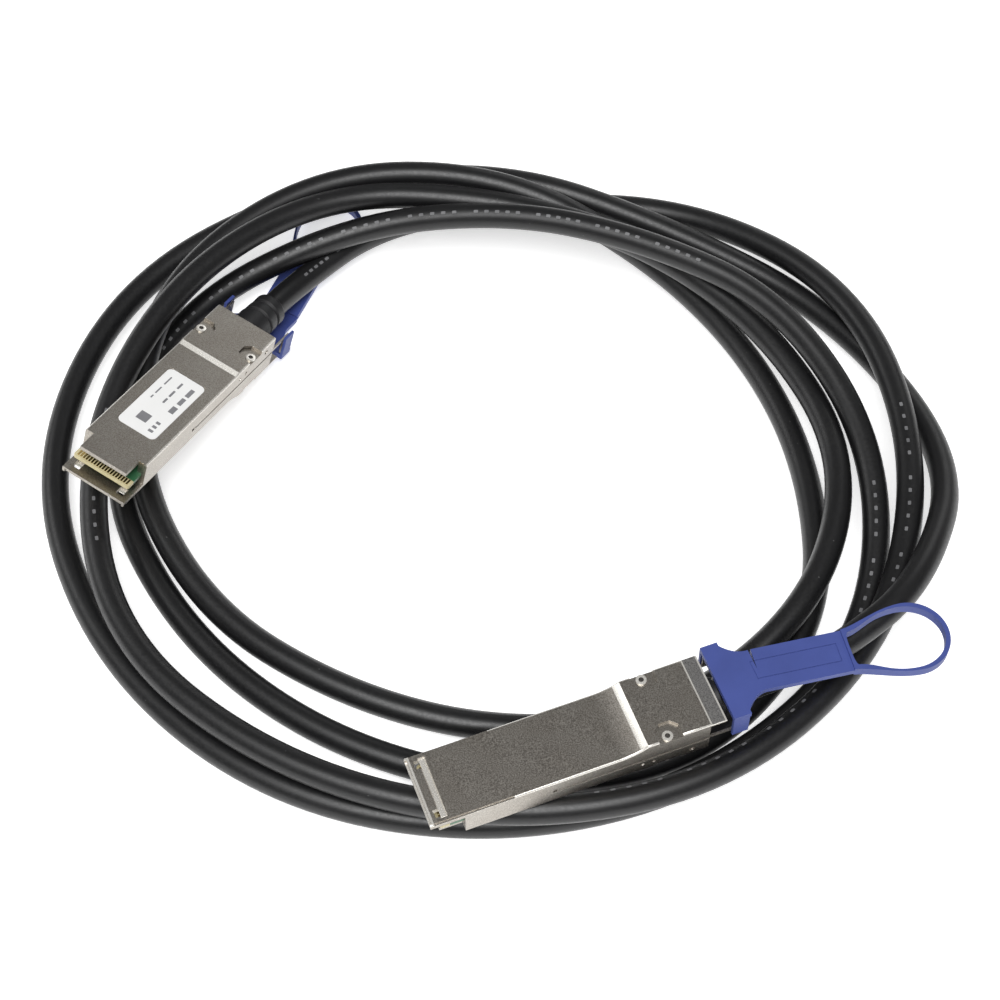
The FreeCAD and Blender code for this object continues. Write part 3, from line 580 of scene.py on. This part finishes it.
@dataclass
class PlugLooks:
    """A plug's own pieces: edge-broken shells, screws, card edge, tab and label."""

    place: PlugPlace
    edge: float = 0.13
    slope: tuple[float, float] = (49.1, 53.2)
    tab_side_slope: float = 50.8
    trough: tuple[float, float] = (2.8, 4.7)
    liner: tuple[float, float] = (3.1, 4.45)
    liner_half: float = 7.7
    liner_levels: tuple[float, float] = (0.45, 0.74)
    line_cuts: tuple[float, ...] = (0.95, 68.8, 72.0)
    # Places along the plug whose faces take painted highlight lines.
    highlight_lines: tuple[tuple[float, float], ...] = ((-0.1, 0.98), (68.35, 68.82), (71.98, 72.5))
    rear_band: tuple[float, float] = (68.2, 73.0)
    screw_place: tuple[float, float] = (58.1, 7.8)
    screw_levels: dict[Side, tuple[float, float]] = field(default_factory=lambda: {
        Side.TAB: (-1.1, -1.55), Side.LABEL: (7.95, 8.4)})
    screw_radius: float = 1.3
    screw_rim: float = 0.30
    screw_rise: float = 0.06
    screw_face: float = 0.38
    socket_reach: float = 0.62
    socket_depth: float = 0.26
    shank_radius: float = 0.6
    card_edge: float = 4.9
    tab_edge: float = 0.3
    pocket: tuple[float, float] = (55.3, 61.8)
    pocket_across: tuple[float, float] = (4.3, 6.95)
    pocket_floor: tuple[float, float] = (7.6, 7.94)
    hole: tuple[float, float] = (110.2, 129.3)
    wide_hole: tuple[float, float] = (106.7, 129.9)
    hole_widening: float = 1.12
    loop_middle: float = 119.5
    hole_corner: float = 3.0

    def tag(self) -> str:
        """The end's letter."""
        return self.place.end.value

    def own(self, point: Vector) -> Vector:
        """A point in the plug's own frame, in millimetres."""
        return self.place.matrix().inverted() @ point

    def own_normal(self, normal: Vector) -> Vector:
        """A direction in the plug's own frame."""
        return (self.place.matrix().inverted().to_3x3() @ normal).normalized()

    def shells(self, palette: Palette) -> None:
        """Makes both shells with broken edges that take a painted highlight.

        Args:
            palette: the finishes.
        """
        for name in ("tab_shell", "label_shell"):
            made = merged_copy(f"{name}_{self.tag()}", f"{name}_cast_{self.tag()}")
            for along in self.line_cuts:
                self.cut_across(made, along)
            for material in (palette.shell, palette.polish_and_highlight, palette.band, palette.trough):
                made.data.materials.append(material)
            banded = faces_on(made, self.on_band, 2)
            faces_on(made, self.in_trough, 3)
            # Slot 1 paints highlight on the slope, the side roundings and the end lines; the soften
            # call below gives every broken edge the same painted highlight.
            bright = faces_on(made, self.on_painted_highlight, 1)
            soften(made, self.edge, 2, 28.0, 1)
            stand_for(made, f"{name}_{self.tag()}", "coil")
            log.info("%s: %d faces, %d bright, %d on the band", made.name,
                     len(made.data.polygons), bright, banded)

    def cut_across(self, piece: bpy.types.Object, along: float) -> None:
        """Cuts a piece's faces at one place along the plug, with nothing removed.

        Args:
            piece: the piece.
            along: the place, in millimetres from the nose.
        """
        start_edit(piece)
        bpy.ops.mesh.select_all(action="SELECT")
        way = (self.place.matrix().to_3x3() @ Vector((1.0, 0.0, 0.0))).normalized()
        bpy.ops.mesh.bisect(plane_co=self.place.point(along, 0.0, 0.0), plane_no=way)
        end_edit()

    def on_painted_highlight(self, middle: Vector, normal: Vector) -> bool:
        """Tells whether a face takes a painted highlight: slope, ridge, rounded edge or end line."""
        at, way = self.own(middle), self.own_normal(normal)
        start = self.slope[0] if at.z > 4.0 else self.tab_side_slope
        slope = start < at.x < self.slope[1] and way.x < -0.1 and abs(way.z) > 0.5
        rounded = abs(at.y) > 8.6 and 0.2 < abs(way.y) < 0.97
        ends = any(low < at.x < high for low, high in self.highlight_lines)
        return slope or rounded or (ends and way.z < -0.8 and at.z < 1.3)

    def in_trough(self, middle: Vector, normal: Vector) -> bool:
        """Tells whether a face lies in the trough behind the nose."""
        at, way = self.own(middle), self.own_normal(normal)
        return (self.trough[0] < at.x < self.trough[1] and abs(at.y) < 8.1
                and 0.1 < at.z < 0.8 and way.z < 0.3)

    def on_band(self, middle: Vector, normal: Vector) -> bool:
        """Tells whether a face is the smooth band at the tab shell's rear."""
        at, way = self.own(middle), self.own_normal(normal)
        return self.rear_band[0] < at.x < self.rear_band[1] and way.z < -0.8 and at.z < -1.0

    def screws(self, palette: Palette) -> None:
        """Makes the screws: each head is turned and pressed on its own, then heads and shanks are
        joined.

        Args:
            palette: the finishes.
        """
        heads = []
        for side in Side:
            low, high = self.screw_levels[side]
            for across in (self.screw_place[1], -self.screw_place[1]):
                heads.append(self.screw_head(low, high, across, palette))
        shank_low, shank_high = self.screw_levels[Side.TAB][0], self.screw_levels[Side.LABEL][0]
        for across in (self.screw_place[1], -self.screw_place[1]):
            heads.append(self.shank(shank_low, shank_high, across, palette))
        made = join_pieces(heads, f"screws_{self.tag()}")
        stand_for(made, f"shell_rivets_{self.tag()}", "coil")
        log.info("%s: %d faces", made.name, len(made.data.polygons))

    def screw_head(self, low: float, high: float, across: float,
                   palette: Palette) -> bpy.types.Object:
        """Turns one head with a broken rim and a round socket, whose faces take a painted shade.

        Args:
            low: the level of its seat.
            high: the level of its top.
            across: its place across the plug.
            palette: the finishes.

        Returns:
            The head, in its place.
        """
        bpy.ops.object.select_all(action="DESELECT")
        bpy.ops.mesh.primitive_cylinder_add(vertices=36, radius=self.screw_radius,
                                            depth=abs(high - low), end_fill_type="NGON")
        made = bpy.context.object
        top = abs(high - low) / 2
        start_edit(made)
        bpy.ops.mesh.select_all(action="DESELECT")
        bpy.ops.object.mode_set(mode="OBJECT")
        for face in made.data.polygons:
            face.select = face.normal.z > 0.9
        bpy.ops.object.mode_set(mode="EDIT")
        bpy.ops.mesh.inset(thickness=self.screw_rim)
        bpy.ops.transform.translate(value=(0.0, 0.0, self.screw_rise))
        bpy.ops.mesh.inset(thickness=self.screw_face)
        bpy.ops.transform.translate(value=(0.0, 0.0, -0.02))
        bpy.ops.mesh.inset(thickness=0.02)
        bpy.ops.transform.translate(value=(0.0, 0.0, -self.socket_depth))
        end_edit()
        for material in (palette.polish_and_highlight, palette.socket):
            made.data.materials.append(material)
        for face in made.data.polygons:
            reach = math.hypot(face.center.x, face.center.y)
            face.material_index = 1 if reach < self.socket_reach and face.center.z < top + 0.05 else 0
        turn = Matrix.Identity(4) if high > low else Matrix.Rotation(math.pi, 4, "X")
        made.data.transform(self.place.matrix() @ Matrix.Translation(
            (self.screw_place[0], across, (low + high) / 2)) @ turn)
        bpy.ops.object.select_all(action="DESELECT")
        made.select_set(True)
        bpy.context.view_layer.objects.active = made
        bpy.ops.object.shade_smooth_by_angle(angle=math.radians(30.0))
        return made

    def shank(self, low: float, high: float, across: float,
              palette: Palette) -> bpy.types.Object:
        """Turns a screw's shank, with a narrower middle.

        Args:
            low: its lower end.
            high: its upper end.
            across: its place across the plug.
            palette: the finishes.

        Returns:
            The shank, in its place.
        """
        bpy.ops.object.select_all(action="DESELECT")
        bpy.ops.mesh.primitive_cylinder_add(vertices=24, radius=self.shank_radius, depth=high - low)
        made = bpy.context.object
        start_edit(made)
        bpy.ops.object.mode_set(mode="OBJECT")
        for face in made.data.polygons:
            face.select = abs(face.normal.z) < 0.5
        bpy.ops.object.mode_set(mode="EDIT")
        bpy.ops.mesh.inset(thickness=1.0, use_even_offset=True)
        bpy.ops.transform.resize(value=(0.9, 0.9, 1.0))
        end_edit()
        made.data.materials.append(palette.polish_and_highlight)
        made.data.transform(self.place.matrix() @ Matrix.Translation(
            (self.screw_place[0], across, (low + high) / 2)))
        return made

    def card(self, palette: Palette) -> None:
        """Makes the board, bare at its front edge and masked behind it.

        Args:
            palette: the finishes.
        """
        made = merged_copy(f"paddle_card_{self.tag()}", f"card_board_{self.tag()}")
        self.cut_across(made, self.card_edge)
        for material in (palette.board, palette.laminate):
            made.data.materials.append(material)
        bare = faces_on(made, lambda at, way: self.own(at).x < self.card_edge, 1)
        stand_for(made, f"paddle_card_{self.tag()}", "coil")
        log.info("%s: %d bare faces", made.name, bare)

    def pocket_floors(self, palette: Palette) -> None:
        """Makes the two closed floors of the label side's screw pockets.

        Args:
            palette: the finishes.
        """
        floors = []
        low, high = self.pocket_floor
        for side in (1.0, -1.0):
            bpy.ops.object.select_all(action="DESELECT")
            bpy.ops.mesh.primitive_cube_add(size=1.0)
            made = bpy.context.object
            start_edit(made)
            bpy.ops.mesh.select_all(action="SELECT")
            bpy.ops.transform.resize(value=(self.pocket[1] - self.pocket[0],
                                            self.pocket_across[1] - self.pocket_across[0],
                                            high - low))
            bpy.ops.mesh.bevel(offset=0.05, segments=2, affect="EDGES")
            end_edit()
            made.data.transform(self.place.matrix() @ Matrix.Translation(
                (sum(self.pocket) / 2, side * sum(self.pocket_across) / 2, (low + high) / 2)))
            made.data.materials.append(palette.shell)
            floors.append(made)
        made = join_pieces(floors, f"pocket_floors_{self.tag()}")
        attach(made, "coil")

    def trough_liner(self, palette: Palette) -> None:
        """Lays a bright, round-edged liner along the trough behind the nose.

        Args:
            palette: the finishes.
        """
        bpy.ops.object.select_all(action="DESELECT")
        bpy.ops.mesh.primitive_cube_add(size=1.0)
        made = bpy.context.object
        (near, far), (low, high) = self.liner, self.liner_levels
        made.data.transform(Matrix.Diagonal(
            (far - near, 2 * self.liner_half, high - low, 1.0)))
        made.data.transform(self.place.matrix() @ Matrix.Translation(
            ((near + far) / 2, 0.0, (low + high) / 2)))
        made.name = f"trough_liner_{self.tag()}"
        made.data.materials.append(palette.polish_and_highlight)
        soften(made, 0.1, 2, 28.0, 0)
        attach(made, "coil")

    def widen_loop(self, piece: bpy.types.Object) -> None:
        """Opens the finger loop's hole up to a slim band.

        Args:
            piece: the pull tab's own copy.
        """
        strap = self.place.strap_matrix()
        back = strap.inverted()
        turn = back.to_3x3()
        wall = set()
        for face in piece.data.polygons:
            at, way = back @ face.center, (turn @ face.normal).normalized()
            inward = (at.x - self.loop_middle) * way.x + at.y * way.y < 0.0
            if self.hole[0] - 0.3 < at.x < self.hole[1] + 0.3 and abs(way.z) < 0.3 and inward:
                wall.update(face.vertices)
        scale = (self.wide_hole[1] - self.wide_hole[0]) / (self.hole[1] - self.hole[0])
        for index in wall:
            vertex = piece.data.vertices[index]
            at = back @ vertex.co
            at.x = self.wide_hole[0] + (at.x - self.hole[0]) * scale
            at.y *= self.hole_widening
            vertex.co = strap @ at
        log.info("%s: hole wall of %d points", piece.name, len(wall))
        self.round_hole(piece, back)

    def round_hole(self, piece: bpy.types.Object, back: Matrix) -> None:
        """Rounds the two corners of the hole at the strap's end.

        Args:
            piece: the pull tab's own copy.
            back: from the cable's frame to the flat strap's.
        """
        start_edit(piece, "EDGE")
        bpy.ops.object.mode_set(mode="OBJECT")
        for edge in piece.data.edges:
            ends = [back @ piece.data.vertices[index].co for index in edge.vertices]
            upright = abs(ends[0].z - ends[1].z) > 1.0
            corner = all(abs(end.x - self.wide_hole[0]) < 0.3 and abs(end.y) > 2.0
                         for end in ends)
            edge.select = upright and corner
        count = sum(edge.select for edge in piece.data.edges)
        bpy.ops.object.mode_set(mode="EDIT")
        bpy.ops.mesh.bevel(offset=self.hole_corner * MM, segments=6, affect="EDGES")
        end_edit()
        log.info("%s: %d corners rounded", piece.name, count)

    def tab(self, palette: Palette) -> None:
        """Makes the soft pull tab with rounded edges.

        Args:
            palette: the finishes.
        """
        made = merged_copy(f"pull_tab_{self.tag()}", f"tab_moulding_{self.tag()}")
        made.data.materials.append(palette.blue)
        self.widen_loop(made)
        soften(made, self.tab_edge, 3, 40.0, 0)
        stand_for(made, f"pull_tab_{self.tag()}", f"release_{self.tag()}")
        log.info("%s: %d faces", made.name, len(made.data.polygons))

    def collar(self, palette: Palette) -> None:
        """Makes the ribbed strain relief with soft ribs.

        Args:
            palette: the finishes.
        """
        made = merged_copy(f"cable_collar_{self.tag()}", f"collar_moulding_{self.tag()}")
        made.data.materials.append(palette.black)
        soften(made, 0.15, 2, 30.0, 0)
        stand_for(made, f"cable_collar_{self.tag()}", "coil")

    def build(self, palette: Palette) -> None:
        """Makes all of the plug's own pieces.

        Args:
            palette: the finishes.
        """
        self.shells(palette)
        self.screws(palette)
        self.card(palette)
        self.pocket_floors(palette)
        self.trough_liner(palette)
        self.tab(palette)
        self.collar(palette)


@dataclass
class LabelFields:
    """Plain grey fields on the sticker, in place of print."""

    place: PlugPlace
    start: float = 16.2
    length: float = 24.1
    half_width: float = 5.6
    level: float = 8.45
    thickness: float = 0.02
    corner: float = 0.12
    fields: list[tuple[float, float, float, float]] = field(default_factory=lambda: [
        (0.50, 0.20, 2.6, 1.5), (0.66, 0.20, 2.8, 1.2), (0.82, 0.20, 3.2, 1.2),
        (0.56, 0.50, 2.0, 0.6), (0.69, 0.50, 2.6, 0.6), (0.84, 0.50, 2.4, 0.6),
        (0.52, 0.80, 1.2, 0.4), (0.64, 0.80, 2.8, 0.4), (0.82, 0.80, 3.4, 0.4),
        (0.22, 0.58, 3.1, 3.1), (0.10, 0.22, 0.9, 1.4), (0.17, 0.22, 0.9, 1.2),
        (0.24, 0.22, 0.9, 1.2)])

    def build(self, palette: Palette) -> None:
        """Makes the fields as one thin raised piece.

        Args:
            palette: the finishes.
        """
        made = []
        for along, across, long, wide in self.fields:
            piece = raised_patch((long, wide, self.thickness), self.corner, 3)
            spot = Matrix.Translation((self.start + along * self.length,
                                       (2.0 * across - 1.0) * self.half_width, self.level))
            piece.data.transform(self.place.matrix() @ spot)
            piece.data.materials.append(palette.ink)
            made.append(piece)
        joined = join_pieces(made, "label_fields_a")
        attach(joined, "coil")
        log.info("%s: %d fields", joined.name, len(self.fields))


# ---------------------------------------------------------------- the cable


@dataclass
class CableCoil:
    """The free cable in its loose coil, from one collar to the other."""

    places: dict[End, PlugPlace]
    diameter: float = 7.0
    real_length: float = 2.70
    middle: tuple[float, float] = (1.0, 5.6)
    start_angle: float = 90.0
    step: float = 30.0
    lead_runs: dict[End, float] = field(default_factory=lambda: {End.A: 12.0, End.B: 7.0})
    first_station: tuple[float, float, float] = (90.0, 112.0, 7.0)
    last_stations: list[tuple[float, float, float]] = field(default_factory=lambda: [
        (112.0, 336.0, 22.0), (101.5, 321.5, 18.5)])
    turns: list[list[tuple[float, float]]] = field(default_factory=lambda: [
        [(93.5, 3.5), (106, 5), (110, 13), (108, 13.5), (109, 11.5), (108.5, 11.5),
         (104, 10.8), (104, 10.5), (110, 12), (106, 16), (100, 22.5), (96, 20.5)],
        [(83.5, 17), (79.5, 16), (83, 12), (90, 11), (90, 11.5), (84, 4),
         (77, 3.5), (77, 5), (85.5, 6), (96, 9), (107, 15), (104, 20)],
        [(92.5, 18), (83, 7), (78.5, 4), (81, 3.5), (92, 3.5), (97, 3.5),
         (92, 3.5), (89.5, 3.5), (93, 3.5), (103, 4), (103, 5.5), (88, 13.5)],
        [(75.5, 21.5), (74.5, 23), (87, 21), (98, 12), (105, 4), (103.5, 3.5),
         (103.7, 3.5), (108, 3.5), (113, 3.5), (120, 6), (119.5, 8.5), (108, 10.5)],
        [(98, 13.5), (93.5, 8.5), (106.5, 4), (118, 9.5)],
    ])

    def station(self, radius: float, angle: float, height: float) -> Vector:
        """A route point from its distance, angle and height, in metres."""
        turn = math.radians(angle)
        return Vector((self.middle[0] + radius * math.cos(turn),
                       self.middle[1] + radius * math.sin(turn), height)) * MM

    def route(self) -> list[Vector]:
        """The cable's corner points.

        Returns:
            Points in metres, from end a to end b.
        """
        ends = {end: place.on_axis(place.collar_end - 1.5) for end, place in self.places.items()}
        bends = {end: place.on_axis(place.collar_end + self.lead_runs[end])
                 for end, place in self.places.items()}
        points = [ends[End.A], bends[End.A], self.station(*self.first_station)]
        angle = self.start_angle
        for turn in self.turns:
            for radius, height in turn:
                points.append(self.station(radius, angle, height))
                angle -= self.step
        points += [self.station(*place) for place in self.last_stations]
        return points + [bends[End.B], ends[End.B]]

    def build(self, palette: Palette) -> bpy.types.Object:
        """Args:
            palette: the finishes.

        Returns:
            The cable's curve object.
        """
        curve = bpy.data.curves.new("cable_jacket", "CURVE")
        curve.dimensions = "3D"
        curve.bevel_depth = self.diameter / 2 * MM
        curve.bevel_resolution = 7
        curve.resolution_u = 14
        curve.use_fill_caps = True
        points = self.route()
        spline = curve.splines.new("NURBS")
        spline.points.add(len(points) - 1)
        for place, point in zip(spline.points, points):
            place.co = (*point, 1.0)
        spline.order_u = 3
        spline.use_endpoint_u = True
        spline.use_smooth = True
        made = bpy.data.objects.new("cable_jacket", curve)
        bpy.context.scene.collection.objects.link(made)
        dress(made, palette.jacket)
        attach(made, "coil")
        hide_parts("cable")
        log.info("cable built with %d route points", len(points))
        return made


@dataclass
class JacketMarks:
    """Rows of small plain dashes along the jacket, in place of its print."""

    cable: bpy.types.Object
    radius: float = 3.5
    pitch: float = 2.3
    word: int = 6
    size: tuple[float, float, float] = (1.2, 0.8, 0.03)
    corner: float = 0.2
    lift: float = 0.02
    rows: list[tuple[float, float, float]] = field(default_factory=lambda: [
        (14.0, 54.0, 20.0), (225.0, 276.0, 8.0), (318.0, 380.0, 32.0), (535.0, 562.0, 8.0),
        (1706.0, 1826.0, 24.0), (1952.0, 1992.0, 8.0)])

    def line(self) -> list[Vector]:
        """Reads the cable's smooth middle line.

        Returns:
            Its points, in metres.
        """
        data = self.cable.data.copy()
        data.bevel_depth = 0.0
        bare = bpy.data.objects.new("middle_line", data)
        bpy.context.scene.collection.objects.link(bare)
        bpy.context.view_layer.update()
        graph = bpy.context.evaluated_depsgraph_get()
        mesh = bpy.data.meshes.new_from_object(bare.evaluated_get(graph))
        points = [vertex.co.copy() for vertex in mesh.vertices]
        bpy.data.objects.remove(bare)
        bpy.data.curves.remove(data)
        bpy.data.meshes.remove(mesh)
        return points

    def places(self, points: list[Vector], row: tuple[float, float, float]) -> list[Matrix]:
        """Finds where a row's dashes lie on the jacket.

        Args:
            points: the cable's middle line.
            row: its start and end along the cable, and its turn about it in degrees.

        Returns:
            One matrix a dash, from millimetres on the jacket.
        """
        start, end, turn = row
        found, travelled, due, count = [], 0.0, start, 0
        for first, second in zip(points, points[1:]):
            travelled += (second - first).length / MM
            if travelled < due or due > end:
                continue
            due += self.pitch
            count += 1
            if count % self.word == 0:
                continue
            along = (second - first).normalized()
            aside = along.cross(Vector((0.0, 0.0, 1.0))).normalized()
            up = aside.cross(along)
            lean = math.radians(turn)
            outward = up * math.cos(lean) + aside * math.sin(lean)
            across = outward.cross(along)
            middle = second + outward * (self.radius + self.lift) * MM
            turned = Matrix((along, across, outward)).transposed().to_4x4()
            found.append(Matrix.Translation(middle) @ turned @ Matrix.Scale(MM, 4))
        return found

    def build(self, palette: Palette) -> None:
        """Makes all the dashes as one thin raised piece.

        Args:
            palette: the finishes.
        """
        points = self.line()
        dash = raised_patch(self.size, self.corner, 2)
        dash.data.materials.append(palette.faded)
        made = []
        for row in self.rows:
            for place in self.places(points, row):
                piece = bpy.data.objects.new("dash", dash.data.copy())
                bpy.context.scene.collection.objects.link(piece)
                piece.data.transform(place)
                made.append(piece)
        bpy.data.objects.remove(dash)
        joined = join_pieces(made, "jacket_marks")
        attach(joined, "coil")
        log.info("%s: %d dashes", joined.name, len(made))


# ---------------------------------------------------------------- the studio


@dataclass
class Studio:
    """Floor, lights and camera."""

    target: tuple[float, float, float] = (1.0, -0.4, 0.0)
    distance: float = 569.0
    elevation: float = 55.1
    lens: float = 78.84
    floor_colour: tuple[float, float, float] = (0.88, 0.88, 0.88)
    floor_glow: float = 0.55
    world_strength: float = 0.16
    lamps: list[tuple[str, tuple[float, float, float], float, float]] = field(
        default_factory=lambda: [("overhead", (-0.1, -0.75, 1.5), 1.1, 33.0),
                                 ("back_right", (0.50, 1.05, 0.62), 0.6, 1.5),
                                 ("left", (-1.0, 0.34, 0.68), 0.6, 2.6)])

    def camera(self) -> None:
        """Places the camera."""
        data = bpy.data.cameras.new("camera")
        data.lens = self.lens
        data.sensor_width = 36.0
        data.clip_start = 0.01
        data.clip_end = 20.0
        made = bpy.data.objects.new("camera", data)
        bpy.context.scene.collection.objects.link(made)
        rise = math.radians(self.elevation)
        target = Vector(self.target)
        back = Vector((0.0, -math.cos(rise), math.sin(rise))) * self.distance
        made.location = (target + back) * MM
        made.rotation_euler = (-back).to_track_quat("-Z", "Y").to_euler()
        bpy.context.scene.camera = made

    def floor(self) -> None:
        """Makes the pale floor."""
        bpy.ops.object.select_all(action="DESELECT")
        bpy.ops.mesh.primitive_plane_add(size=30.0, location=(0.0, 0.0, 0.0))
        made = bpy.context.object
        made.name = "floor"
        material = bpy.data.materials.new("floor")
        material.use_nodes = True
        shader = material.node_tree.nodes["Principled BSDF"]
        shader.inputs["Base Color"].default_value = (*self.floor_colour, 1.0)
        shader.inputs["Roughness"].default_value = 0.7
        shader.inputs["Emission Color"].default_value = (1.0, 1.0, 1.0, 1.0)
        shader.inputs["Emission Strength"].default_value = self.floor_glow
        dress(made, material)

    def light(self, name: str, place: tuple[float, float, float], size: float,
              power: float) -> None:
        """Adds one soft lamp aimed at the coil.

        Args:
            name: the lamp's name.
            place: where it hangs, in metres.
            size: its side, in metres.
            power: its power in watts.
        """
        data = bpy.data.lights.new(name, "AREA")
        data.shape = "SQUARE"
        data.size = size
        data.energy = power
        made = bpy.data.objects.new(name, data)
        made.location = place
        made.rotation_euler = (-Vector(place)).to_track_quat("-Z", "Y").to_euler()
        bpy.context.scene.collection.objects.link(made)

    def build(self) -> None:
        """Makes the whole studio."""
        self.camera()
        self.floor()
        for name, place, size, power in self.lamps:
            self.light(name, place, size, power)
        world = bpy.data.worlds.new("studio")
        world.use_nodes = True
        world.node_tree.nodes["Background"].inputs["Color"].default_value = (1, 1, 1, 1)
        world.node_tree.nodes["Background"].inputs["Strength"].default_value = self.world_strength
        bpy.context.scene.world = world
        bpy.context.scene.view_settings.view_transform = "Standard"


def main() -> None:
    """Builds every sub-assembly in order."""
    logging.basicConfig(level=logging.INFO, format="%(name)s: %(message)s")
    palette = Palette()
    for name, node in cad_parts.items():
        dress(node, palette.for_node(name))
    places = {
        End.A: PlugPlace(End.A, (-97.5, -13.0, 32.6), (61.9, 13.5, 10.0), Side.LABEL,
                         89.0, (8.0, -13.1, -9.5)),
        End.B: PlugPlace(End.B, (-17.8, -97.0, 23.0), (20.7, -1.0, 1.0), Side.TAB,
                         84.0, (7.0, -1.5, 0.0)),
    }
    Studio().build()
    cable = CableCoil(places).build(palette)
    JacketMarks(cable).build(palette)
    for place in places.values():
        PlugLooks(place).build(palette)
    LabelFields(places[End.A]).build(palette)


if __name__ == "__main__":
    main()
